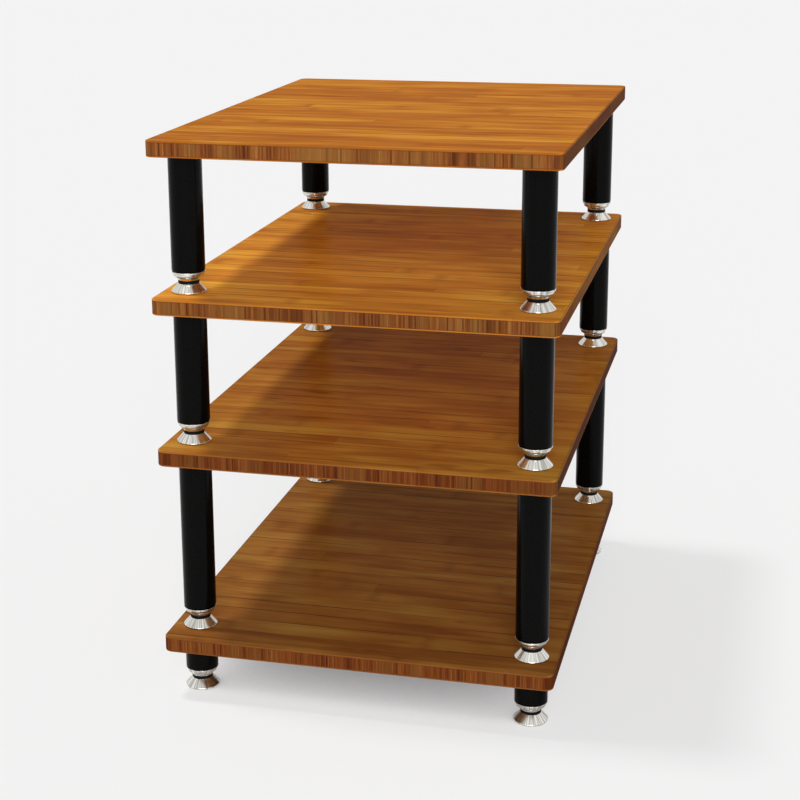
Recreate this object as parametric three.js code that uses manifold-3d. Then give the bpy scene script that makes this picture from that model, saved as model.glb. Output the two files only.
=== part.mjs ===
// Audio equipment rack: four laminated bamboo shelves, each on four round black columns.
// Every column stands on a turned spike, a rubber ring and a turned pad.
// Millimetres, +Z up. The origin is on the floor under the middle of the rack.
// -Y is the near short end, +Y the far one, -X the left side and +X the right.
import * as THREE from 'three';
import { mergeVertices } from 'three/addons/utils/BufferGeometryUtils.js';
import Module from 'manifold-3d';

const wasm = await Module();
wasm.setup();

// Shelves
const SHELF_WIDTH = 450;
const SHELF_DEPTH = 600;
const SHELF_THICKNESS = 18;
const SHELF_CORNER_RADIUS = 10;
const SHELF_ARRIS = 1.5;

// Clear heights: floor to bottom shelf, then shelf to shelf going up
const FOOT_CLEAR_HEIGHT = 58;
const LOWER_CLEAR_HEIGHT = 207;
const UPPER_CLEAR_HEIGHT = 156;
const TOP_CLEAR_HEIGHT = 156;

// Leg axes, from the side and end edges of the shelves
const LEG_INSET_FROM_SIDE = 30;
const LEG_INSET_FROM_END = 45;

// Columns, with a threaded stud on top and a threaded bore below
const COLUMN_RADIUS = 19;
const COLUMN_CHAMFER = 1.2;
const THREAD_RADIUS = 4;
const STUD_HOLE_CEILING = 5.5;
const STUD_HOLE_ROOM = 1.5;
const SHANK_LENGTH = 20;
const BORE_END_ROOM = 4;

// Rubber rings
const RING_RADIUS = 12;
const RING_BORE_RADIUS = 8;
const RING_HEIGHT = 3.1;

// Spikes: a rim under the column, a shoulder, an inverted cone, a narrow band at its foot and a hidden tip
const RIM_HEIGHT = 1.5;
const SHOULDER_HEIGHT = 0.6;
const SHOULDER_STEP = 1.4;
const CONE_HEIGHT = 5.9;
const BAND_HEIGHT = 2;
const BAND_FLARE = 0.6;
const TIP_NECK_CLEARANCE = 2;

// Pads, with a dimple for the spike's tip
const PAD_LIP_RADIUS = 20;
const PAD_LIP_HEIGHT = 1.5;
const PAD_BASE_BEVEL = 0.8;
const PAD_HEIGHT = 10.2;
const DIMPLE_FLOOR_THICKNESS = 3.6;

// Clearances
const CONTACT_GAP = 0.3;
const THREAD_CLEARANCE = 0.3;
const TIP_GAP = 0.4;
const CUT_OVERRUN = 1;

// Facet counts
const ROUND_SIDES = 18;
const CORNER_SEGMENTS = 4;

const bamboo = new THREE.MeshStandardMaterial({ color: 0xb66f2b, roughness: 0.45, metalness: 0 });
const blackColumn = new THREE.MeshStandardMaterial({ color: 0x101010, roughness: 0.4, metalness: 0.4 });
const brightMetal = new THREE.MeshStandardMaterial({ color: 0xd9d6d0, roughness: 0.2, metalness: 1 });
const rubber = new THREE.MeshStandardMaterial({ color: 0x0b0b0b, roughness: 0.85, metalness: 0 });

// Heights in a leg, above the surface that its pad sits on
const ringFoot = PAD_HEIGHT + CONTACT_GAP;
const ringTop = ringFoot + RING_HEIGHT;
const spikeFoot = ringTop + CONTACT_GAP;
const spikeBodyHeight = BAND_HEIGHT + CONE_HEIGHT + SHOULDER_HEIGHT + RIM_HEIGHT;
const columnFoot = spikeFoot + spikeBodyHeight + CONTACT_GAP;

// Studs and their holes
const studHoleDepth = SHELF_THICKNESS - STUD_HOLE_CEILING;
const studLength = studHoleDepth - STUD_HOLE_ROOM;
const threadedHoleRadius = THREAD_RADIUS + THREAD_CLEARANCE;

// A turned piece from its half section: pairs of radius and height, from the lowest point outwards and up
function turned(section) {
  const points = section.map(([radius, height]) => new THREE.Vector2(radius, height));
  const geometry = new THREE.LatheGeometry(points, ROUND_SIDES);
  geometry.rotateX(Math.PI / 2);
  return geometry;
}

// A closed geometry as a solid that can be cut
function solidOf(geometry) {
  const bare = geometry.clone();
  bare.deleteAttribute('normal');
  bare.deleteAttribute('uv');
  const merged = mergeVertices(bare);
  const vertProperties = new Float32Array(merged.attributes.position.array);
  const triVerts = new Uint32Array(merged.index.array);
  return new wasm.Manifold(new wasm.Mesh({ numProp: 3, vertProperties, triVerts }));
}

// A cut solid as a geometry again
function geometryOf(solid) {
  const mesh = solid.getMesh();
  const geometry = new THREE.BufferGeometry();
  geometry.setAttribute('position', new THREE.BufferAttribute(new Float32Array(mesh.vertProperties), 3));
  geometry.setIndex(new THREE.BufferAttribute(new Uint32Array(mesh.triVerts), 1));
  geometry.computeVertexNormals();
  return geometry;
}

// The four leg axes, named by end and side
function legPlaces() {
  const places = [];
  for (const [endName, endSign] of [['front', -1], ['back', 1]]) {
    for (const [sideName, sideSign] of [['left', -1], ['right', 1]]) {
      const x = sideSign * (SHELF_WIDTH / 2 - LEG_INSET_FROM_SIDE);
      const y = endSign * (SHELF_DEPTH / 2 - LEG_INSET_FROM_END);
      places.push({ name: `${endName}_${sideName}`, x, y });
    }
  }
  return places;
}

// The plan outline of a shelf: a rectangle with rounded corners
function shelfOutline() {
  const outline = new THREE.Shape();
  const cornerX = SHELF_WIDTH / 2 - SHELF_CORNER_RADIUS;
  const cornerY = SHELF_DEPTH / 2 - SHELF_CORNER_RADIUS;
  const quarter = Math.PI / 2;
  outline.absarc(cornerX, -cornerY, SHELF_CORNER_RADIUS, -quarter, 0, false);
  outline.absarc(cornerX, cornerY, SHELF_CORNER_RADIUS, 0, quarter, false);
  outline.absarc(-cornerX, cornerY, SHELF_CORNER_RADIUS, quarter, 2 * quarter, false);
  outline.absarc(-cornerX, -cornerY, SHELF_CORNER_RADIUS, 2 * quarter, 3 * quarter, false);
  outline.closePath();
  return outline;
}

// A shelf with eased arrises and a blind hole in its underside for each column's stud. Its underside is at 0
function shelfGeometry(places) {
  const slab = new THREE.ExtrudeGeometry(shelfOutline(), {
    depth: SHELF_THICKNESS - 2 * SHELF_ARRIS,
    curveSegments: CORNER_SEGMENTS,
    bevelEnabled: true,
    bevelThickness: SHELF_ARRIS,
    bevelSize: SHELF_ARRIS,
    bevelOffset: -SHELF_ARRIS,
    bevelSegments: 1,
  });
  slab.translate(0, 0, SHELF_ARRIS);
  const cutLength = studHoleDepth + CUT_OVERRUN;
  let shelf = solidOf(slab);
  for (const place of places) {
    const hole = new THREE.CylinderGeometry(threadedHoleRadius, threadedHoleRadius, cutLength, ROUND_SIDES);
    hole.rotateX(Math.PI / 2);
    hole.translate(place.x, place.y, studHoleDepth - cutLength / 2);
    shelf = shelf.subtract(solidOf(hole));
  }
  return geometryOf(shelf);
}

// A column, foot at 0: threaded bore from below, chamfered foot, and the stud on top
function columnGeometry(length) {
  const boreDepth = SHANK_LENGTH + BORE_END_ROOM;
  return turned([
    [0, boreDepth],
    [threadedHoleRadius, boreDepth],
    [threadedHoleRadius, 0],
    [COLUMN_RADIUS - COLUMN_CHAMFER, 0],
    [COLUMN_RADIUS, COLUMN_CHAMFER],
    [COLUMN_RADIUS, length],
    [THREAD_RADIUS, length],
    [THREAD_RADIUS, length + studLength],
    [0, length + studLength],
  ]);
}

// A spike, with 0 at the foot of its band: the tip hangs below, the shank stands above the rim
function spikeGeometry() {
  const tip = DIMPLE_FLOOR_THICKNESS + TIP_GAP - spikeFoot;
  const coneTop = BAND_HEIGHT + CONE_HEIGHT;
  const rimFoot = coneTop + SHOULDER_HEIGHT;
  const rimTop = rimFoot + RIM_HEIGHT;
  return turned([
    [0, tip],
    [RING_BORE_RADIUS - TIP_NECK_CLEARANCE, 0],
    [RING_RADIUS, 0],
    [RING_RADIUS + BAND_FLARE, BAND_HEIGHT],
    [COLUMN_RADIUS - SHOULDER_STEP, coneTop],
    [COLUMN_RADIUS, rimFoot],
    [COLUMN_RADIUS, rimTop],
    [THREAD_RADIUS, rimTop],
    [THREAD_RADIUS, rimTop + SHANK_LENGTH],
    [0, rimTop + SHANK_LENGTH],
  ]);
}

// The outer half section that both kinds of pad share, from the middle of the base to the top edge
function padOutside() {
  return [
    [0, 0],
    [PAD_LIP_RADIUS - PAD_BASE_BEVEL, 0],
    [PAD_LIP_RADIUS, PAD_LIP_HEIGHT],
    [RING_RADIUS, PAD_HEIGHT],
  ];
}

// A plain pad, base at 0, for a rubber ring that is a piece of its own
function padGeometry() {
  return turned([...padOutside(), [RING_BORE_RADIUS, PAD_HEIGHT], [0, DIMPLE_FLOOR_THICKNESS]]);
}

// A pad with its rubber ring on it, base at 0
function ringedPadGeometry() {
  return turned([
    ...padOutside(),
    [RING_RADIUS, ringTop],
    [RING_BORE_RADIUS, ringTop],
    [RING_BORE_RADIUS, PAD_HEIGHT],
    [0, DIMPLE_FLOOR_THICKNESS],
  ]);
}

// A rubber ring, base at 0
function ringGeometry() {
  return turned([
    [RING_BORE_RADIUS, 0],
    [RING_RADIUS, 0],
    [RING_RADIUS, RING_HEIGHT],
    [RING_BORE_RADIUS, RING_HEIGHT],
    [RING_BORE_RADIUS, 0],
  ]);
}

function piece(name, geometry, material, height) {
  const mesh = new THREE.Mesh(geometry, material);
  mesh.name = name;
  mesh.position.z = height;
  return mesh;
}

// A leg of one tier: pad, ring where it is a piece of its own, spike and column
function leg(tier, place, shapes) {
  const group = new THREE.Group();
  group.position.set(place.x, place.y, tier.seatGap);
  const nameOf = (kind) => `${tier.name}_${kind}_${place.name}`;
  if (tier.looseRings) {
    group.add(piece(nameOf('pad'), shapes.pad, brightMetal, 0));
    group.add(piece(nameOf('ring'), shapes.ring, rubber, ringFoot));
  } else {
    group.add(piece(nameOf('pad'), shapes.ringedPad, brightMetal, 0));
  }
  group.add(piece(nameOf('spike'), shapes.spike, brightMetal, spikeFoot));
  const columnLength = tier.clearHeight - tier.seatGap - columnFoot - CONTACT_GAP;
  group.add(piece(nameOf('column'), columnGeometry(columnLength), blackColumn, columnFoot));
  return group;
}

// The four tiers from the floor up. The feet meet the floor itself, and their rings are loose
const tiers = [
  { name: 'foot', shelf: 'shelf_bottom', clearHeight: FOOT_CLEAR_HEIGHT, seatGap: 0, looseRings: true },
  { name: 'lower', shelf: 'shelf_lower', clearHeight: LOWER_CLEAR_HEIGHT, seatGap: CONTACT_GAP },
  { name: 'upper', shelf: 'shelf_upper', clearHeight: UPPER_CLEAR_HEIGHT, seatGap: CONTACT_GAP },
  { name: 'top', shelf: 'shelf_top', clearHeight: TOP_CLEAR_HEIGHT, seatGap: CONTACT_GAP },
];

function rack() {
  const group = new THREE.Group();
  const places = legPlaces();
  const shapes = {
    shelf: shelfGeometry(places),
    spike: spikeGeometry(),
    pad: padGeometry(),
    ringedPad: ringedPadGeometry(),
    ring: ringGeometry(),
  };
  let seat = 0;
  for (const tier of tiers) {
    const tierGroup = new THREE.Group();
    tierGroup.position.z = seat;
    for (const place of places) {
      tierGroup.add(leg(tier, place, shapes));
    }
    tierGroup.add(piece(tier.shelf, shapes.shelf, bamboo, tier.clearHeight));
    group.add(tierGroup);
    seat += tier.clearHeight + SHELF_THICKNESS;
  }
  return group;
}

export default rack();
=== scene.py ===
"""Looks of the audio equipment rack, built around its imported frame.

Four strip bamboo boards stand on round black columns. Under every column come a
turned metal spike, a rubber ring and a turned metal pad. Metres, +Z up, with the
near short end at -Y, as in the frame. Heights in a leg count from its pad's base.
"""
import math

import bpy
import numpy as np
from mathutils import Matrix, Vector
from mathutils.geometry import tessellate_polygon


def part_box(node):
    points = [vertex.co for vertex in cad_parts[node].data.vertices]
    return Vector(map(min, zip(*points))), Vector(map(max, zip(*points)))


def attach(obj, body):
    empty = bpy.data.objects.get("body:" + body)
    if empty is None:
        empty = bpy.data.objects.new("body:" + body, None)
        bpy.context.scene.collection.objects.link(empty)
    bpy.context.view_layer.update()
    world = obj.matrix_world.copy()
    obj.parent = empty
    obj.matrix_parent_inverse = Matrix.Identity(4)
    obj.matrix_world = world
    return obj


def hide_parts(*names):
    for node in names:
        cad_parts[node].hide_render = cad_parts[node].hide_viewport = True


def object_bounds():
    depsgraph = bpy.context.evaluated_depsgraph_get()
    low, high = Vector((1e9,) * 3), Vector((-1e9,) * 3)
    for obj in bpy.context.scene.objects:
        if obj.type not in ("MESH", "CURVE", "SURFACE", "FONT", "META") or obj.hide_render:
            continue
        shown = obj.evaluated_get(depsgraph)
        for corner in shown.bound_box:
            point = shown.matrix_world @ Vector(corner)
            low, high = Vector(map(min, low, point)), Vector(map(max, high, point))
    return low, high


MM = 0.001

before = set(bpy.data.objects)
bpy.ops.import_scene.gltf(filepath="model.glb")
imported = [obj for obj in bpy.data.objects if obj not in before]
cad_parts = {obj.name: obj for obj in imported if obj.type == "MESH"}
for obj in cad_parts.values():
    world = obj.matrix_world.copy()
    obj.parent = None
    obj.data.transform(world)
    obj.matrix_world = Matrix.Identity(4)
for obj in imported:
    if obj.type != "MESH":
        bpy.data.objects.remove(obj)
cad_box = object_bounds()

# Tiers from the floor up: the board on top of each, its node, and what the colours of the board's face
# plies and of its core are multiplied by. These tints are partly the boards' own tone and partly painted
# light and shade: the upper board's plies are lightened, and the lower boards' plies and cores darkened.
TIERS = {
    "foot": {
        "board": "bottom_board",
        "node": "shelf_bottom",
        "face_tone_and_painted_light": (0.61, 0.69, 1.12),
        "core_tone_and_painted_shade": (0.54, 0.46, 0.42),
    },
    "lower": {
        "board": "lower_board",
        "node": "shelf_lower",
        "face_tone_and_painted_light": (0.85, 0.95, 1.12),
        "core_tone_and_painted_shade": (0.52, 0.43, 0.42),
    },
    "upper": {
        "board": "upper_board",
        "node": "shelf_upper",
        "face_tone_and_painted_light": (1.48, 1.72, 1.60),
        "core_tone_and_painted_shade": (0.66, 0.67, 0.67),
    },
    "top": {
        "board": "top_board",
        "node": "shelf_top",
        "face_tone_and_painted_light": (1.03, 0.99, 0.77),
        "core_tone_and_painted_shade": (0.79, 0.78, 0.79),
    },
}
PLACES = ("front_left", "front_right", "back_left", "back_right")
PART_WORDS = {
    "pad": "turned_pad",
    "ring": "rubber_ring",
    "spike": "levelling_spike",
    "column": "black_column",
}
BOARD_WIDTH, BOARD_LENGTH, BOARD_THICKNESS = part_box("shelf_top")[1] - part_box("shelf_top")[0]

# Camera, in the photograph's frame of 800 by 800 pixels
PICTURE_PIXELS = 800
SENSOR_WIDTH_MM = 36
FOCAL_PIXELS = 1698
CENTRE_PIXEL = (380.3, 324.7)
CAMERA_PLACE = (0.4528, -1.9829, 0.9147)
CAMERA_AZIMUTH = math.radians(13.96)
CAMERA_TILT = math.radians(14.65)
CAMERA_ROLL = math.radians(-0.35)
CAMERA_REACH = 200

# Light and surroundings. The floor's painted shade is how far the rack darkens what the camera sees of it,
# and its plain share is how much of that takes no light
WORLD_STRENGTH = 0.32
BACKDROP_GREY = (0.896, 0.896, 0.896, 1)
FLOOR_RADIUS = 60.0
FLOOR_SIDES = 96
FLOOR_DROP = 0.05 * MM
FLOOR_SHADE_REACH = 300 * MM
FLOOR_SHADE_SAMPLES = 16
FLOOR_PLAIN_SHARE = 0.72

# Boards
BOARD_CORNER_RADIUS = 10 * MM
BOARD_ARRIS = 1.4 * MM
BOARD_FLAT_START = 3 * BOARD_ARRIS
CORNER_STEPS = 14
CRISP_ANGLE = math.radians(40)

# Studs, bores and threads
THREAD_RADIUS = 4.0 * MM
THREAD_DEPTH = 0.68 * MM
THREAD_PITCH = 1.25 * MM
THREAD_STEPS_PER_PITCH = 8
HOLE_RADIUS = 4.3 * MM
HOLE_MOUTH = 0.6 * MM
HOLE_CEILING = 5.5 * MM
BORE_DEPTH = 24 * MM

# Columns
COLUMN_TOP_EASE = 0.5 * MM
COLUMN_FOOT_CHAMFER = 1.0 * MM
COLUMN_FOOT_EASE = 0.3 * MM
COLUMN_SIDE_EASE = 0.5 * MM

# Rubber rings
RING_BORE_RADIUS = 8 * MM
RING_EASE = 0.7 * MM

# Spikes
RIM_HEIGHT = 1.5 * MM
SHOULDER_HEIGHT = 0.6 * MM
GROOVE_DEPTH = 0.5 * MM
GROOVE_EASE = 0.1 * MM
CONE_STEP = 1.4 * MM
CONE_HEIGHT = 5.9 * MM
BAND_HEIGHT = 2.0 * MM
BAND_FLARE = 0.6 * MM
BOWL_RADIUS = 16.9 * MM
BOWL_HEIGHT = 2.9 * MM
BOWL_EASE = 2.4 * MM
TIP_NECK_RADIUS = 6 * MM
METAL_EASE = 0.25 * MM

# Pads
PAD_LIP_HEIGHT = 1.5 * MM
PAD_LIP_EASE = 0.6 * MM
PAD_BASE_BEVEL = 0.8 * MM
PAD_BASE_EASE = 0.3 * MM
DIMPLE_FLOOR = 3.6 * MM

# Facets and fits
ROUND_SIDES = 72
EASE_STEPS = 5
EASE_REACH = 0.4
EASE_HOLD = 0.15
CONTACT_GAP = 0.3 * MM
NEARLY_ZERO = 1e-9

# Make of the bamboo. A variety is how unequal its strips, pieces or bars are, and the offset is how far
# the pattern moves along X and Y from one board to the next
FACE_PLY = 1.7 * MM
PLY_FADE = 0.1 * MM
GLUE_DEPTH = FACE_PLY + 0.4 * MM
GLUE_FADE = (0.7 * MM, 0.2 * MM)
# Painted shade along the board's edges fades in between the two distances of the arris fade
ARRIS_SHADE_FADE = (2.2 * MM, 0.8 * MM)
STRIP_WIDTH = 28 * MM
STRIP_LENGTH = 900 * MM
STRIP_VARIETY = 0.35
PIECE_VARIETY = 0.6
KNUCKLE_SPACING = 235 * MM
CORE_BAR_WIDTH = 1.8 * MM
BAR_VARIETY = 0.9
BOARD_OFFSET = (1.37, 2.91)

# Noise marks in the bamboo, a metre along X, Y and Z
FIBRE_MARKS = (14.0, 380.0, 380.0)
GRAIN_MARKS = (7.0, 80.0, 80.0)
STREAK_MARKS = (6.0, 55.0, 55.0)
CLOUD_MARKS = (9.0, 24.0, 1.0)
KNUCKLE_WAVE_MARKS = (40.0, 60.0, 1.0)
KNOT_MARKS = (16.0, 48.0, 1.0)
SEAM_RUN_MARKS = (5.0, 30.0, 1.0)
BAR_FIBRE_MARKS = (1500.0, 9.0, 50.0)
WIDE_BAR_MARKS = (50.0, 5.0, 1.0)
PALE_BAR_MARKS = (34.0, 4.0, 1.0)

# Linear colours. A ramp is pairs of place and colour
FACE_RAMP = (
    (0.15, (0.300, 0.084, 0.011)),
    (0.42, (0.420, 0.134, 0.016)),
    (0.60, (0.510, 0.188, 0.022)),
    (0.85, (0.610, 0.290, 0.036)),
)
CORE_RAMP = (
    (0.10, (0.105, 0.026, 0.009)),
    (0.38, (0.215, 0.062, 0.015)),
    (0.60, (0.320, 0.108, 0.024)),
    (0.90, (0.470, 0.200, 0.052)),
)
STREAK_BROWN = (0.250, 0.052, 0.006)
KNUCKLE_BROWN = (0.20, 0.044, 0.006)
KNOT_BROWN = (0.18, 0.040, 0.006)
SEAM_BROWN = (0.115, 0.030, 0.006)
# Painted shade laid on the plies along the board's edges
ARRIS_PAINTED_SHADE = (0.230, 0.070, 0.010)
PALE_BAR_BROWN = (0.330, 0.165, 0.038)
DARK_BAR_BROWN = (0.075, 0.018, 0.007)
BAR_SEAM_BROWN = (0.080, 0.020, 0.007)
GLUE_BROWN = (0.150, 0.034, 0.010)
COAT_RAMP = ((0.3, (0.0012, 0.0012, 0.0011)), (0.7, (0.0022, 0.0022, 0.0020)))
RUBBER_RAMP = ((0.3, (0.0020, 0.0020, 0.0020)), (0.7, (0.0045, 0.0045, 0.0045)))
# Painted reflection streaks on the turned metal run between these two colours
METAL_STREAK_DARK = (0.36, 0.355, 0.33)
METAL_STREAK_BRIGHT = (0.92, 0.91, 0.84)
FLOOR_GREY = (0.89, 0.89, 0.89, 1)
FLOOR_SHADE_RAMP = ((0.04, (0.24, 0.24, 0.25)), (0.31, (0.885, 0.885, 0.885)))

# Turned metal: lathe rings a metre of section, and painted reflection streaks round the axis and along it
TURNING_MAP = "turning"
FINE_RINGS = 4200.0
WIDE_RINGS = 900.0
STREAKS_AROUND = 48.0
STREAKS_ALONG = 14.0


def leg_axis(tier, place):
    """The x and y of a leg's axis, the middle of its column's box."""
    low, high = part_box(f"{tier}_column_{place}")
    return (low.x + high.x) / 2, (low.y + high.y) / 2


def finish_mesh(name, points, faces, material, uv=None):
    """A smooth mesh object at the origin from arrays of points and faces.

    uv gives one pair for each face corner.
    """
    mesh = bpy.data.meshes.new(name)
    mesh.from_pydata(points.tolist(), [], faces)
    mesh.update()
    mesh.polygons.foreach_set("use_smooth", np.ones(len(mesh.polygons), bool))
    if uv is not None:
        layer = mesh.uv_layers.new(name=TURNING_MAP)
        layer.data.foreach_set("uv", np.asarray(uv, np.float32).ravel())
    mesh.materials.append(material)
    made = bpy.data.objects.new(name, mesh)
    bpy.context.scene.collection.objects.link(made)
    return made


def eased(corners):
    """A half section with eased corners.

    corners is a list of radius, height and ease. A corner with an ease becomes a quadratic curve that
    leaves the first side an ease before the corner and meets the next an ease after it, held by a point a
    little further out.
    """
    places = np.array([c[:2] for c in corners])
    section = [places[0]]
    for index in range(1, len(corners) - 1):
        corner, ease = places[index], corners[index][2]
        if ease == 0:
            section.append(corner)
            continue
        back, ahead = places[index - 1] - corner, places[index + 1] - corner
        back_length, ahead_length = np.linalg.norm(back), np.linalg.norm(ahead)
        reach = min(ease, EASE_REACH * back_length, EASE_REACH * ahead_length)
        start = corner + back / back_length * reach
        end = corner + ahead / ahead_length * reach
        hold = EASE_HOLD * reach
        section.append(start + back / back_length * hold)
        for share in np.linspace(0, 1, EASE_STEPS):
            section.append((1 - share) ** 2 * start + 2 * share * (1 - share) * corner + share**2 * end)
        section.append(end + ahead / ahead_length * hold)
    section.append(places[-1])
    return np.array(section)


def turned(name, section, axis, base, material, thread=None, sides=ROUND_SIDES):
    """A piece turned on a lathe.

    A point at turn a and place i on the section is (x + r cos a, y + r sin a, base + h), with r and h the
    section's radius and height at i. The section starts and ends on the axis, or closes on itself when its
    ends are off it. thread gives, for each place on the section, how much of the thread's depth is cut
    there; the cut is a triangle wave of the height over the pitch less the turn.
    """
    radius, height = section[:, 0], section[:, 1]
    closed = radius[0] > 0
    turn = np.linspace(0, 2 * math.pi, sides, endpoint=False)
    radii = np.repeat(radius[:, None], sides, axis=1)
    if thread is not None:
        phase = (height[:, None] / THREAD_PITCH - turn[None, :] / (2 * math.pi)) % 1
        radii = radii - thread[:, None] * THREAD_DEPTH * np.abs(2 * phase - 1)
    inner = slice(0, len(section)) if closed else slice(1, len(section) - 1)
    x = axis[0] + radii[inner] * np.cos(turn)
    y = axis[1] + radii[inner] * np.sin(turn)
    z = np.repeat(base + height[inner, None], sides, axis=1)
    points = np.stack([x, y, z], axis=2).reshape(-1, 3)
    rings = len(x)
    steps = np.linalg.norm(np.diff(section, axis=0), axis=1)
    along = np.concatenate([[0], np.cumsum(steps)])

    rows = np.arange(rings if closed else rings - 1)
    row, column = (grid.ravel() for grid in np.meshgrid(rows, np.arange(sides), indexing="ij"))
    next_row, next_column = (row + 1) % rings, (column + 1) % sides
    quads = np.stack([
        row * sides + column,
        row * sides + next_column,
        next_row * sides + next_column,
        next_row * sides + column,
    ], axis=1)
    offset = 0 if closed else 1
    low = along[row + offset]
    high = along[(row + offset + 1).clip(0, len(along) - 1)]
    around, around_next = column / sides, (column + 1) / sides
    quad_uv = np.stack([around, low, around_next, low, around_next, high, around, high], axis=1)
    faces, uv = quads.tolist(), quad_uv.reshape(-1, 2)

    if not closed:
        foot, crown = len(points), len(points) + 1
        ends = [[axis[0], axis[1], base + height[0]], [axis[0], axis[1], base + height[-1]]]
        points = np.vstack([points, ends])
        step = np.arange(sides)
        step_next = (step + 1) % sides
        top = (rings - 1) * sides
        faces += np.stack([step_next, step, np.full(sides, foot)], axis=1).tolist()
        faces += np.stack([top + step, top + step_next, np.full(sides, crown)], axis=1).tolist()
        share, share_next = step / sides, (step + 1) / sides
        middle = (share + share_next) / 2
        zero, first = np.zeros(sides), np.full(sides, along[1])
        last, end = np.full(sides, along[-2]), np.full(sides, along[-1])
        foot_uv = np.stack([share_next, first, share, first, middle, zero], axis=1).reshape(-1, 2)
        crown_uv = np.stack([share, last, share_next, last, middle, end], axis=1).reshape(-1, 2)
        uv = np.vstack([uv, foot_uv, crown_uv])
    return finish_mesh(name, points, faces, material, uv)


def pad(name, axis, base, height, lip_radius, top_radius, material):
    """A turned pad: a flat base, a lip near it, a cone up to the ring's radius and a dimple for the tip."""
    section = eased([
        (0, 0, 0),
        (lip_radius - PAD_BASE_BEVEL, 0, PAD_BASE_EASE),
        (lip_radius, PAD_LIP_HEIGHT, PAD_LIP_EASE),
        (top_radius, height, METAL_EASE),
        (RING_BORE_RADIUS, height, METAL_EASE),
        (0, DIMPLE_FLOOR, 0),
    ])
    return turned(name, section, axis, base, material)


def rubber_ring(name, axis, base, height, radius, material):
    """A rubber ring of nearly square section with soft edges."""
    section = eased([
        (RING_BORE_RADIUS, height / 2, 0),
        (RING_BORE_RADIUS, 0, RING_EASE),
        (radius, 0, RING_EASE),
        (radius, height, RING_EASE),
        (RING_BORE_RADIUS, height, RING_EASE),
        (RING_BORE_RADIUS, height / 2, 0),
    ])[:-1]
    return turned(name, section, axis, base, material)


def with_thread(section, low, high):
    """The section with close steps from low to high on the thread's radius, and their shares of thread.

    The share rises from 0 to 1 over the first pitch and falls back to 0 over the last.
    """
    count = int((high - low) / THREAD_PITCH * THREAD_STEPS_PER_PITCH)
    steps = np.linspace(low, high, count)
    share = np.clip((steps - low) / THREAD_PITCH, 0, 1) * np.clip((high - steps) / THREAD_PITCH, 0, 1)
    below = section[:, 1] <= low + NEARLY_ZERO
    on_radius = np.abs(section[:, 0] - THREAD_RADIUS) < NEARLY_ZERO
    start = np.flatnonzero(below & on_radius)[-1]
    stretch = np.stack([np.full(count, THREAD_RADIUS), steps], axis=1)
    whole = np.vstack([section[: start + 1], stretch, section[start + 1 :]])
    shares = np.concatenate([np.zeros(start + 1), share, np.zeros(len(section) - start - 1)])
    return whole, shares


def spike(name, axis, low, high, rim_radius, band_radius, band_foot, material):
    """A levelling spike: a hidden tip, a narrow band, a bowl, a groove, a rim and a threaded shank.

    low and high are the ends of tip and shank, and band_foot is where the body starts.
    """
    tip, shank_top = low - band_foot, high - band_foot
    cone_top = BAND_HEIGHT + CONE_HEIGHT
    rim_foot = cone_top + SHOULDER_HEIGHT
    rim_top = rim_foot + RIM_HEIGHT
    section = eased([
        (0, tip, 0),
        (TIP_NECK_RADIUS, 0, METAL_EASE),
        (band_radius, 0, METAL_EASE),
        (band_radius + BAND_FLARE, BAND_HEIGHT, METAL_EASE),
        (BOWL_RADIUS, BAND_HEIGHT + BOWL_HEIGHT, BOWL_EASE),
        (rim_radius - CONE_STEP, cone_top, METAL_EASE),
        (rim_radius - CONE_STEP - GROOVE_DEPTH, cone_top + SHOULDER_HEIGHT / 2, GROOVE_EASE),
        (rim_radius, rim_foot, METAL_EASE),
        (rim_radius, rim_top, METAL_EASE),
        (THREAD_RADIUS, rim_top, 0),
        (THREAD_RADIUS, shank_top - THREAD_DEPTH, 0),
        (THREAD_RADIUS - THREAD_DEPTH, shank_top, 0),
        (0, shank_top, 0),
    ])
    whole, share = with_thread(section, rim_top, shank_top - THREAD_DEPTH)
    return turned(name, whole, axis, band_foot, material, thread=share)


def column(name, axis, foot, underside, stud_top, radius, material):
    """A column: a bored foot with a chamfer, a straight side, an eased top and a threaded stud."""
    length, stud = underside - foot, stud_top - foot
    section = eased([
        (0, BORE_DEPTH, 0),
        (HOLE_RADIUS, BORE_DEPTH - HOLE_RADIUS / 2, 0),
        (HOLE_RADIUS, HOLE_MOUTH, 0),
        (HOLE_RADIUS + HOLE_MOUTH, 0, 0),
        (radius - COLUMN_FOOT_CHAMFER, 0, COLUMN_FOOT_EASE),
        (radius, COLUMN_FOOT_CHAMFER, COLUMN_SIDE_EASE),
        (radius, length, COLUMN_TOP_EASE),
        (THREAD_RADIUS, length, 0),
        (THREAD_RADIUS, stud - THREAD_DEPTH, 0),
        (THREAD_RADIUS - THREAD_DEPTH, stud, 0),
        (0, stud, 0),
    ])
    whole, share = with_thread(section, length, stud - THREAD_DEPTH)
    return turned(name, whole, axis, foot, material, thread=share)


def rounded_outline(low, high, inset):
    """A board's outline, an inset in from its edges.

    Each corner is an arc of the corner radius less the inset about the same centre, and the arcs join in
    straight sides. The points run anticlockwise seen from above.
    """
    radius = BOARD_CORNER_RADIUS - inset
    centre = (low + high) / 2
    half = (high - low) / 2 - BOARD_CORNER_RADIUS
    turn = np.linspace(0, math.pi / 2, CORNER_STEPS + 1)
    corners = []
    for quarter, (side_x, side_y) in enumerate(((1, 1), (-1, 1), (-1, -1), (1, -1))):
        angle = turn + quarter * math.pi / 2
        x = centre[0] + side_x * half[0] + radius * np.cos(angle)
        y = centre[1] + side_y * half[1] + radius * np.sin(angle)
        corners.append(np.stack([x, y], axis=1))
    return np.vstack(corners)


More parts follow.
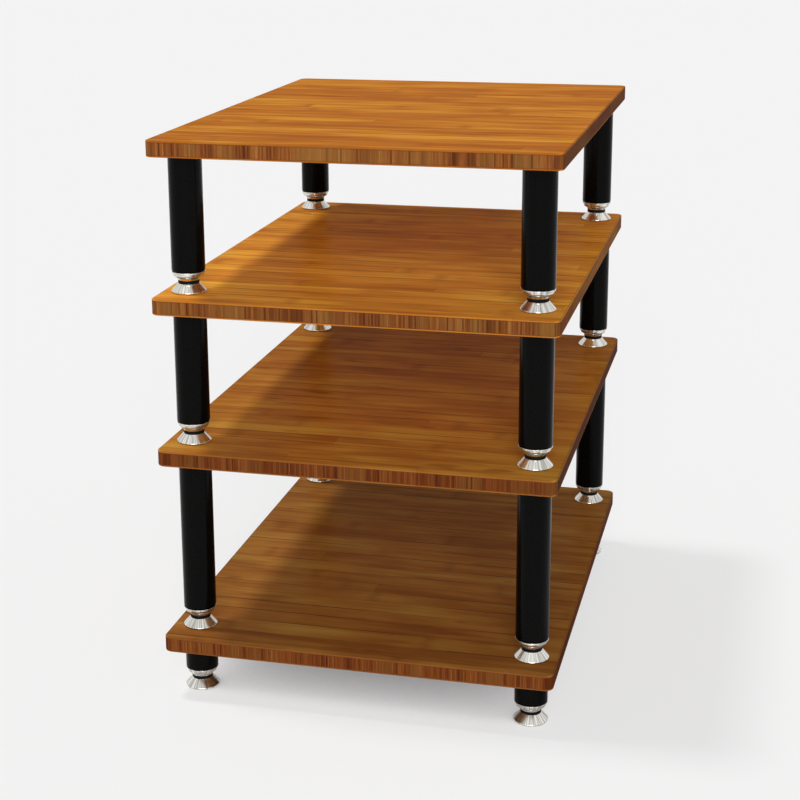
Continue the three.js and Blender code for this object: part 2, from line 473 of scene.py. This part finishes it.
def board_shell(low, high):
    """A board's outline carried up a section of inset and height with eased arrises, and its flat top.

    Gives the points, the faces and the number of points in one outline. The underside is left open.
    """
    thickness = high[2] - low[2]
    section = eased([
        (BOARD_FLAT_START, 0, 0),
        (0, 0, BOARD_ARRIS),
        (0, thickness, BOARD_ARRIS),
        (BOARD_FLAT_START, thickness, 0),
    ])
    rings = []
    for inset, height in section:
        flat = rounded_outline(low[:2], high[:2], inset)
        rings.append(np.column_stack([flat, np.full(len(flat), low[2] + height)]))
    around = len(rings[0])
    rows = np.arange(len(rings) - 1)
    row, step = (grid.ravel() for grid in np.meshgrid(rows, np.arange(around), indexing="ij"))
    step_next = (step + 1) % around
    quads = np.stack([
        row * around + step,
        row * around + step_next,
        (row + 1) * around + step_next,
        (row + 1) * around + step,
    ], axis=1)
    top = (len(rings) - 1) * around + np.arange(around)
    return np.vstack(rings), quads.tolist() + [top.tolist()], around


def board(name, node, axes, material):
    """A board with four blind stud holes.

    The underside is cut into triangles between the outline and the holes' rims, all facing down. Each hole
    is a circle at its mouth and one at its ceiling, with a wall of quads between them and a flat end.
    """
    low, high = (np.array(corner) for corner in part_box(node))
    points, faces, around = board_shell(low, high)
    loops, indices = [points[:around]], [np.arange(around)]
    turn = np.linspace(0, 2 * math.pi, ROUND_SIDES, endpoint=False)
    step = np.arange(ROUND_SIDES)
    after = (step + 1) % ROUND_SIDES
    depth = high[2] - HOLE_CEILING - low[2]
    for x, y in axes:
        circle_x, circle_y = x + HOLE_RADIUS * np.cos(turn), y + HOLE_RADIUS * np.sin(turn)
        rim = np.column_stack([circle_x, circle_y, np.full(ROUND_SIDES, low[2])])
        mouth = len(points) + step
        ceiling = mouth + ROUND_SIDES
        points = np.vstack([points, rim, rim + [0, 0, depth]])
        loops.append(rim[::-1])
        indices.append(mouth[::-1])
        faces += np.stack([mouth[after], mouth, ceiling, ceiling[after]], axis=1).tolist()
        faces.append(ceiling[::-1].tolist())

    triangles = tessellate_polygon([[Vector(p) for p in loop] for loop in loops])
    corners = np.concatenate(indices)[np.array(triangles)]
    a, b, c = (points[corners[:, k], :2].T for k in range(3))
    turns_left = (b[0] - a[0]) * (c[1] - a[1]) - (b[1] - a[1]) * (c[0] - a[0]) > 0
    corners[turns_left] = corners[turns_left, ::-1]
    made = finish_mesh(name, points, faces + corners.tolist(), material)
    made.data.set_sharp_from_angle(angle=CRISP_ANGLE)
    return made


class Finish:
    """One material's node tree, made a node a call.

    Texture places are Object coordinates in metres. A value is a number, a colour or a node's socket.
    """

    def __init__(self, name):
        self.material = bpy.data.materials.new(name)
        self.material.use_nodes = True
        self.nodes = self.material.node_tree.nodes
        self.links = self.material.node_tree.links
        self.shader = self.nodes["Principled BSDF"]
        self.place = self.nodes.new("ShaderNodeTexCoord").outputs["Object"]

    def feed(self, socket, value):
        """Links a socket to another, or sets its value."""
        if isinstance(value, bpy.types.NodeSocket):
            self.links.new(value, socket)
        else:
            socket.default_value = value

    def math(self, operation, *values):
        """One operation of Blender's Math node on one or two values."""
        node = self.nodes.new("ShaderNodeMath")
        node.operation = operation
        for socket, value in zip(node.inputs, values):
            self.feed(socket, value)
        return node.outputs[0]

    def total(self, *parts):
        """The sum of values, each times its weight."""
        weighed = [self.math("MULTIPLY", value, weight) for value, weight in parts]
        result = weighed[0]
        for part in weighed[1:]:
            result = self.math("ADD", result, part)
        return result

    def split(self, vector):
        """A vector's x, y and z."""
        node = self.nodes.new("ShaderNodeSeparateXYZ")
        self.feed(node.inputs[0], vector)
        return node.outputs

    def join(self, x, y, z):
        """The vector of x, y and z."""
        node = self.nodes.new("ShaderNodeCombineXYZ")
        for socket, value in zip(node.inputs, (x, y, z)):
            self.feed(socket, value)
        return node.outputs[0]

    def stretched(self, x, y, z, marks, shift=None):
        """The texture place of x, y and z, each times its marks, with x then moved on by shift."""
        along = self.math("MULTIPLY", x, marks[0])
        if shift is not None:
            along = self.math("ADD", along, shift)
        return self.join(along, self.math("MULTIPLY", y, marks[1]), self.math("MULTIPLY", z, marks[2]))

    def between(self, value, low, high, out_low=0.0, out_high=1.0):
        """value brought from low and high to out_low and out_high, and held there outside them."""
        node = self.nodes.new("ShaderNodeMapRange")
        node.clamp = True
        for socket, number in zip(node.inputs, (value, low, high, out_low, out_high)):
            self.feed(socket, number)
        return node.outputs[0]

    def noise(self, vector, scale=1.0, detail=2.0, roughness=0.5):
        """Cloudy noise from about 0 to 1."""
        node = self.nodes.new("ShaderNodeTexNoise")
        self.feed(node.inputs["Vector"], vector)
        self.feed(node.inputs["Scale"], scale)
        self.feed(node.inputs["Detail"], detail)
        self.feed(node.inputs["Roughness"], roughness)
        return node.outputs["Fac"]

    def cells(self, along, randomness, edges=False):
        """Cells of about one unit along a line: three chance numbers for each, or how far its ends are."""
        node = self.nodes.new("ShaderNodeTexVoronoi")
        node.voronoi_dimensions = "1D"
        node.feature = "DISTANCE_TO_EDGE" if edges else "F1"
        self.feed(node.inputs["W"], along)
        self.feed(node.inputs["Scale"], 1.0)
        self.feed(node.inputs["Randomness"], randomness)
        if edges:
            return node.outputs["Distance"]
        parts = self.nodes.new("ShaderNodeSeparateColor")
        self.feed(parts.inputs[0], node.outputs["Color"])
        return parts.outputs

    def ramp(self, value, stops):
        """A colour ramp of pairs of place and linear colour."""
        node = self.nodes.new("ShaderNodeValToRGB")
        elements = node.color_ramp.elements
        while len(elements) < len(stops):
            elements.new(0.5)
        for element, (place, colour) in zip(elements, stops):
            element.position = place
            element.color = (*colour, 1)
        self.feed(node.inputs[0], value)
        return node.outputs[0]

    def mix(self, share, first, second, blend="MIX"):
        """The first colour with a share of the second over it."""
        node = self.nodes.new("ShaderNodeMix")
        node.data_type = "RGBA"
        node.blend_type = blend
        node.clamp_factor = True
        self.feed(node.inputs[0], share)
        for socket, value in ((node.inputs[6], first), (node.inputs[7], second)):
            self.feed(socket, (*value, 1) if isinstance(value, tuple) else value)
        return node.outputs[2]

    def stain(self, under, mask, amount, colour):
        """A colour laid over another by a mask times an amount."""
        return self.mix(self.math("MULTIPLY", mask, amount), under, colour)

    def bump(self, height_mm, strength=1.0):
        """A bump from a height in millimetres."""
        node = self.nodes.new("ShaderNodeBump")
        self.feed(node.inputs["Strength"], strength)
        self.feed(node.inputs["Distance"], MM)
        self.feed(node.inputs["Height"], height_mm)
        self.links.new(node.outputs[0], self.shader.inputs["Normal"])

    def set(self, **values):
        """Shader sockets by name, with _ for a space."""
        for name, value in values.items():
            self.feed(self.shader.inputs[name.replace("_", " ")], value)


def face_strips(f, x, y, z, seed):
    """Strips along X with fibre, grain and streaks, a knuckle or a knot here and there, and dark seams.

    Gives the colour, and the fibre, grain and seam that the relief follows.
    """
    strip = f.math("DIVIDE", y, STRIP_WIDTH)
    strip_chance = f.cells(strip, STRIP_VARIETY)
    strip_edge = f.cells(strip, STRIP_VARIETY, edges=True)
    run = f.math("ADD", f.math("DIVIDE", x, STRIP_LENGTH), f.math("MULTIPLY", strip_chance[0], 37.0))
    piece_chance = f.cells(run, PIECE_VARIETY)
    piece_edge = f.cells(run, PIECE_VARIETY, edges=True)
    shift = f.math("MULTIPLY", piece_chance[1], 9.0)

    fibre = f.noise(f.stretched(x, y, z, FIBRE_MARKS, shift), detail=3, roughness=0.55)
    grain = f.noise(f.stretched(x, y, z, GRAIN_MARKS, shift), detail=3, roughness=0.55)
    streak = f.noise(f.stretched(x, y, z, STREAK_MARKS, shift), detail=3)
    cloud = f.noise(f.stretched(x, y, z, CLOUD_MARKS), detail=2)
    tone = f.total((piece_chance[2], 0.26), (grain, 0.72), (cloud, 0.70), (fibre, 0.16))
    face = f.ramp(f.math("SUBTRACT", tone, 0.395), FACE_RAMP)
    face = f.stain(face, f.between(streak, 0.56, 0.74), 0.6, STREAK_BROWN)

    wave = f.noise(f.stretched(x, y, 0.0, KNUCKLE_WAVE_MARKS), detail=2)
    spaced = f.math("DIVIDE", x, KNUCKLE_SPACING)
    spaced = f.math("ADD", spaced, f.math("MULTIPLY", strip_chance[1], 11.0))
    spaced = f.math("ADD", spaced, f.math("MULTIPLY", wave, 0.05))
    off_knuckle = f.math("ABSOLUTE", f.math("SUBTRACT", f.math("FRACT", spaced), 0.5))
    knuckled_strip = f.between(strip_chance[2], 0.45, 0.75)
    knuckle = f.math("MULTIPLY", f.between(off_knuckle, 0.050, 0.0), knuckled_strip)
    face = f.stain(face, knuckle, 0.30, KNUCKLE_BROWN)
    knot = f.noise(f.stretched(x, y, seed * 3.3, KNOT_MARKS), detail=1)
    face = f.stain(face, f.between(knot, 0.69, 0.80), 0.5, KNOT_BROWN)

    seam_run = f.noise(f.stretched(x, y, seed * 1.7, SEAM_RUN_MARKS), detail=1)
    seam_strength = f.between(seam_run, 0.43, 0.58, 0.10, 1.0)
    joint = f.math("MULTIPLY", f.between(strip_edge, 0.048, 0.012), seam_strength)
    butt = f.math("MULTIPLY", f.between(piece_edge, 0.0012, 0.0004), 0.15)
    seam = f.math("MAXIMUM", joint, butt)
    return f.stain(face, seam, 0.85, SEAM_BROWN), fibre, grain, seam


def core_bars(f, x, y, z, seed):
    """The colour of narrow upright bars along Y: pale patches, a dark bar now and then, and thin seams."""
    bar = f.math("DIVIDE", x, CORE_BAR_WIDTH)
    bar_chance = f.cells(bar, BAR_VARIETY)
    bar_edge = f.cells(bar, BAR_VARIETY, edges=True)
    fibre = f.noise(f.stretched(x, y, z, BAR_FIBRE_MARKS), detail=3, roughness=0.7)
    wide = f.noise(f.stretched(x, y, z, WIDE_BAR_MARKS), detail=2)
    pale = f.noise(f.stretched(x, y, seed * 5.1, PALE_BAR_MARKS), detail=2)
    tone = f.total((bar_chance[0], 0.32), (fibre, 0.60), (wide, 0.82))
    core = f.ramp(f.math("SUBTRACT", tone, 0.37), CORE_RAMP)
    core = f.stain(core, f.between(pale, 0.50, 0.66), 0.5, PALE_BAR_BROWN)
    core = f.stain(core, f.between(bar_chance[1], 0.91, 0.94), 0.6, DARK_BAR_BROWN)
    return f.stain(core, f.between(bar_edge, 0.16, 0.03), 0.35, BAR_SEAM_BROWN)


def bamboo(name, underside, seed, face_tone_and_painted_light, core_tone_and_painted_shade):
    """Strip bamboo: face plies of strips along X over a core of narrow bars that run along Y.

    It is a solid pattern, so every face shows what the board holds there: strips and grain on top, the ends
    of the bars along the short edges and the side of one bar along the long edges. underside is the board's
    lowest height, and the face and core tints are what the colours of its plies and core are multiplied by.
    The tints are partly the board's own tone and partly painted light and shade that differ from shelf to
    shelf.
    """
    f = Finish(name)
    across, endways, z = f.split(f.place)
    x = f.math("ADD", across, seed * BOARD_OFFSET[0])
    y = f.math("ADD", endways, seed * BOARD_OFFSET[1])
    face, fibre, grain, seam = face_strips(f, x, y, z, seed)
    edge_x = f.math("SUBTRACT", BOARD_WIDTH / 2, f.math("ABSOLUTE", across))
    edge_y = f.math("SUBTRACT", BOARD_LENGTH / 2, f.math("ABSOLUTE", endways))
    # Painted shade: the plies darken near the board's edges to dull the light that the rounded arris
    # catches
    arris_shade = f.between(f.math("MINIMUM", edge_x, edge_y), *ARRIS_SHADE_FADE)
    face = f.stain(face, arris_shade, 0.6, ARRIS_PAINTED_SHADE)
    # Painted light and shade: the face and core tints lighten or darken this board's bamboo for the light
    # on its shelf
    face = f.mix(1.0, face, face_tone_and_painted_light, blend="MULTIPLY")
    core = f.mix(1.0, core_bars(f, x, y, z, seed), core_tone_and_painted_shade, blend="MULTIPLY")

    depth = f.math("SUBTRACT", z, underside)
    from_face = f.math("MINIMUM", depth, f.math("SUBTRACT", BOARD_THICKNESS, depth))
    in_core = f.between(from_face, FACE_PLY - PLY_FADE, FACE_PLY + PLY_FADE)
    glue = f.between(f.math("ABSOLUTE", f.math("SUBTRACT", from_face, GLUE_DEPTH)), *GLUE_FADE)
    colour = f.stain(f.mix(in_core, face, core), glue, 0.6, GLUE_BROWN)

    f.bump(f.total((fibre, 0.035), (grain, 0.03), (seam, -0.05)), strength=0.7)
    f.set(Base_Color=colour, Roughness=f.between(fibre, 0.2, 0.8, 0.50, 0.40), Specular_IOR_Level=0.0)
    f.set(Coat_Weight=0.06, Coat_IOR=1.45, Coat_Roughness=0.3)
    return f.material


def black_coat():
    """Satin black coating with a fine orange-peel surface."""
    f = Finish("satin_black_coat")
    peel = f.noise(f.place, scale=520.0, detail=3)
    speck = f.noise(f.place, scale=2600.0, detail=1)
    f.bump(f.total((peel, 0.008), (speck, 0.002)), strength=0.6)
    roughness = f.between(peel, 0.3, 0.7, 0.13, 0.18)
    f.set(Base_Color=f.ramp(peel, COAT_RAMP), Roughness=roughness, Specular_IOR_Level=0.055)
    return f.material


def turned_metal():
    """Polished metal with the fine rings that a lathe tool leaves.

    The turning map's v runs along the section and its u round the axis, so marks that change with v alone
    are rings. The tangent follows u, and highlights stretch across the rings. Streaks between dark and
    bright base colour run along the section and differ from piece to piece with its place: painted
    reflections that stand in for what the polished metal would mirror.
    """
    f = Finish("turned_metal")
    uv = f.nodes.new("ShaderNodeUVMap")
    uv.uv_map = TURNING_MAP
    around, along, _ = f.split(uv.outputs[0])
    x, y, z = f.split(f.place)
    own = f.math("MULTIPLY", f.math("ADD", f.math("ADD", x, y), z), 4.0)
    fine = f.noise(f.join(0.0, f.math("MULTIPLY", along, FINE_RINGS), 0.0), detail=3, roughness=0.7)
    wide = f.noise(f.join(0.0, f.math("MULTIPLY", along, WIDE_RINGS), 0.0), detail=1)
    streak_place = f.join(f.math("MULTIPLY", around, STREAKS_AROUND), f.math("MULTIPLY", along, STREAKS_ALONG), own)
    painted_streaks = f.noise(streak_place, detail=3, roughness=0.65)
    f.bump(f.total((fine, 0.004), (wide, 0.004)), strength=0.8)
    # Painted reflection: the base colour streaks between dark and bright along the section
    tint = f.mix(f.between(painted_streaks, 0.32, 0.66), METAL_STREAK_DARK, METAL_STREAK_BRIGHT)
    tangent = f.nodes.new("ShaderNodeTangent")
    tangent.direction_type = "UV_MAP"
    tangent.uv_map = TURNING_MAP
    f.links.new(tangent.outputs[0], f.shader.inputs["Tangent"])
    f.set(Base_Color=tint, Metallic=1.0, Roughness=f.between(fine, 0.3, 0.7, 0.17, 0.26), Anisotropic=0.6)
    return f.material


def rubber():
    """Matt black rubber with a faint grain."""
    f = Finish("black_rubber")
    grain = f.noise(f.place, scale=1800.0, detail=2)
    f.bump(f.math("MULTIPLY", grain, 0.02), strength=0.6)
    f.set(Base_Color=f.ramp(grain, RUBBER_RAMP), Roughness=0.6, Specular_IOR_Level=0.1)
    return f.material


def floor_material():
    """Pale studio floor.

    To the camera most of its tone is the backdrop's plain grey, deepened by painted shade from ambient
    occlusion where the rack closes the floor in.
    """
    f = Finish("pale_floor")
    f.set(Base_Color=FLOOR_GREY, Roughness=0.9, Specular_IOR_Level=0.1)
    near = f.nodes.new("ShaderNodeAmbientOcclusion")
    near.samples = FLOOR_SHADE_SAMPLES
    near.inputs["Distance"].default_value = FLOOR_SHADE_REACH
    plain = f.nodes.new("ShaderNodeEmission")
    # Painted shade: the plain grey the camera sees darkens with the ambient occlusion where the rack closes
    # the floor in
    f.feed(plain.inputs["Color"], f.ramp(near.outputs["AO"], FLOOR_SHADE_RAMP))
    seen = f.nodes.new("ShaderNodeLightPath").outputs["Is Camera Ray"]
    mix = f.nodes.new("ShaderNodeMixShader")
    f.links.new(f.math("MULTIPLY", seen, FLOOR_PLAIN_SHARE), mix.inputs[0])
    f.links.new(f.shader.outputs[0], mix.inputs[1])
    f.links.new(plain.outputs[0], mix.inputs[2])
    f.links.new(mix.outputs[0], f.nodes["Material Output"].inputs["Surface"])
    return f.material


def place_camera():
    """The camera of the photograph: its place, its three turns and its lens with a small shift."""
    data = bpy.data.cameras.new("camera")
    data.sensor_width = SENSOR_WIDTH_MM
    data.lens = FOCAL_PIXELS / PICTURE_PIXELS * SENSOR_WIDTH_MM
    data.shift_x = (PICTURE_PIXELS / 2 - CENTRE_PIXEL[0]) / PICTURE_PIXELS
    data.shift_y = (CENTRE_PIXEL[1] - PICTURE_PIXELS / 2) / PICTURE_PIXELS
    data.clip_end = CAMERA_REACH
    back = Vector((
        math.sin(CAMERA_AZIMUTH) * math.cos(CAMERA_TILT),
        -math.cos(CAMERA_AZIMUTH) * math.cos(CAMERA_TILT),
        math.sin(CAMERA_TILT),
    ))
    right = Vector((0, 0, 1)).cross(back).normalized()
    up = back.cross(right)
    rolled_right = math.cos(CAMERA_ROLL) * right + math.sin(CAMERA_ROLL) * up
    rolled_up = math.cos(CAMERA_ROLL) * up - math.sin(CAMERA_ROLL) * right
    turn = Matrix((rolled_right, rolled_up, back)).transposed().to_4x4()
    camera = bpy.data.objects.new("camera", data)
    camera.matrix_world = Matrix.Translation(CAMERA_PLACE) @ turn
    bpy.context.scene.collection.objects.link(camera)
    bpy.context.scene.camera = camera


def sun(name, azimuth, height, width, strength):
    """A soft sun, its angles in degrees.

    Its azimuth is 0 in front and 90 on the right, its height is above the horizon and its width is across.
    """
    data = bpy.data.lights.new(name, "SUN")
    data.energy = strength
    data.angle = math.radians(width)
    turn, rise = math.radians(azimuth), math.radians(height)
    towards = Vector((math.sin(turn) * math.cos(rise), -math.cos(turn) * math.cos(rise), math.sin(rise)))
    lamp = bpy.data.objects.new(name, data)
    lamp.rotation_mode = "QUATERNION"
    lamp.rotation_quaternion = towards.to_track_quat("Z", "Y")
    bpy.context.scene.collection.objects.link(lamp)


def world_light():
    """Even light from all round, and the pale backdrop where camera, gloss or glass looks at the world."""
    world = bpy.data.worlds.new("studio")
    world.use_nodes = True
    bpy.context.scene.world = world
    nodes, links = world.node_tree.nodes, world.node_tree.links
    light = nodes["Background"]
    light.inputs["Color"].default_value = (1, 1, 1, 1)
    light.inputs["Strength"].default_value = WORLD_STRENGTH
    backdrop = nodes.new("ShaderNodeBackground")
    backdrop.inputs["Color"].default_value = BACKDROP_GREY
    backdrop.inputs["Strength"].default_value = 1.0
    path = nodes.new("ShaderNodeLightPath")
    seen = path.outputs["Is Camera Ray"]
    for ray in ("Is Glossy Ray", "Is Transmission Ray"):
        either = nodes.new("ShaderNodeMath")
        either.operation = "MAXIMUM"
        links.new(seen, either.inputs[0])
        links.new(path.outputs[ray], either.inputs[1])
        seen = either.outputs[0]
    mix = nodes.new("ShaderNodeMixShader")
    links.new(seen, mix.inputs[0])
    links.new(light.outputs[0], mix.inputs[1])
    links.new(backdrop.outputs[0], mix.inputs[2])
    links.new(mix.outputs[0], nodes["World Output"].inputs[0])


def lay_floor():
    """A floor of a flat disc far wider than the rack, just under its pads."""
    turn = np.linspace(0, 2 * math.pi, FLOOR_SIDES, endpoint=False)
    height = np.full(FLOOR_SIDES, cad_box[0].z - FLOOR_DROP)
    points = np.column_stack([FLOOR_RADIUS * np.cos(turn), FLOOR_RADIUS * np.sin(turn), height])
    floor = finish_mesh("floor", points, [list(range(FLOOR_SIDES))], floor_material())


def add_piece(made, body, slot, *nodes):
    """A made piece rides on its body and stands for its nodes. Its slot is not used."""
    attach(made, body)
    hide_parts(*nodes)


def body_of(tier, part, place):
    """The body that a part of a leg moves with."""
    if part == "spike":
        return f"{tier}_spike_{place}"
    if part == "column":
        return "bottom_shelf" if tier == "foot" else f"{tier}_shelf"
    return f"foot_{place}" if tier == "foot" else f"{tier}_shelf_pads"


def leg(tier, place, underside, finishes):
    """One leg of a tier: pad, rubber ring, spike and column, at the sizes of their nodes."""
    axis = leg_axis(tier, place)
    pad_low, pad_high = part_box(f"foot_pad_{place}")
    ring_low, ring_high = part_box(f"foot_ring_{place}")
    spike_low, spike_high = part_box(f"{tier}_spike_{place}")
    column_low, column_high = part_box(f"{tier}_column_{place}")
    lip_radius = (pad_high.x - pad_low.x) / 2
    ring_radius = (ring_high.x - ring_low.x) / 2
    column_radius = (column_high.x - column_low.x) / 2
    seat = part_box(f"{tier}_pad_{place}")[0].z
    ring_height = ring_high.z - ring_low.z
    pad_height = pad_high.z - pad_low.z
    ring_foot = seat + ring_low.z - pad_low.z
    band_foot = ring_foot + ring_height + CONTACT_GAP
    column_top = underside - CONTACT_GAP
    metal, black = finishes["metal"], finishes["black"]
    names = {part: f"{tier}_{word}_{place}" for part, word in PART_WORDS.items()}

    foot_pad = pad(names["pad"], axis, seat, pad_height, lip_radius, ring_radius, metal)
    add_piece(foot_pad, body_of(tier, "pad", place), "polished_metal", f"{tier}_pad_{place}")
    ring = rubber_ring(names["ring"], axis, ring_foot, ring_height, ring_radius, finishes["rubber"])
    ring_node = f"foot_ring_{place}" if tier == "foot" else f"{tier}_pad_{place}"
    add_piece(ring, body_of(tier, "ring", place), "rubber_ring", ring_node)
    spike_name, column_name = names["spike"], names["column"]
    screw = spike(spike_name, axis, spike_low.z, spike_high.z, column_radius, ring_radius, band_foot, metal)
    add_piece(screw, body_of(tier, "spike", place), "polished_metal", f"{tier}_spike_{place}")
    tube = column(column_name, axis, column_low.z, column_top, column_high.z, column_radius, black)
    add_piece(tube, body_of(tier, "column", place), "black_column", f"{tier}_column_{place}")


def build_rack():
    """All boards and legs, a tier at a time."""
    finishes = {"metal": turned_metal(), "black": black_coat(), "rubber": rubber()}
    for seed, (tier, facts) in enumerate(TIERS.items()):
        node = facts["node"]
        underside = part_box(node)[0].z
        grain = bamboo(f"{facts['board']}_bamboo", underside, seed, facts["face_tone_and_painted_light"], facts["core_tone_and_painted_shade"])
        axes = [leg_axis(tier, place) for place in PLACES]
        plank = board(facts["board"], node, axes, grain)
        add_piece(plank, body_of(tier, "column", ""), "bamboo", node)
        for place in PLACES:
            leg(tier, place, underside, finishes)


bpy.context.scene.view_settings.view_transform = "Standard"
place_camera()
build_rack()
lay_floor()
world_light()
sun("key", azimuth=-92, height=72, width=8, strength=1.55)
sun("fill", azimuth=12, height=23, width=30, strength=2.10)
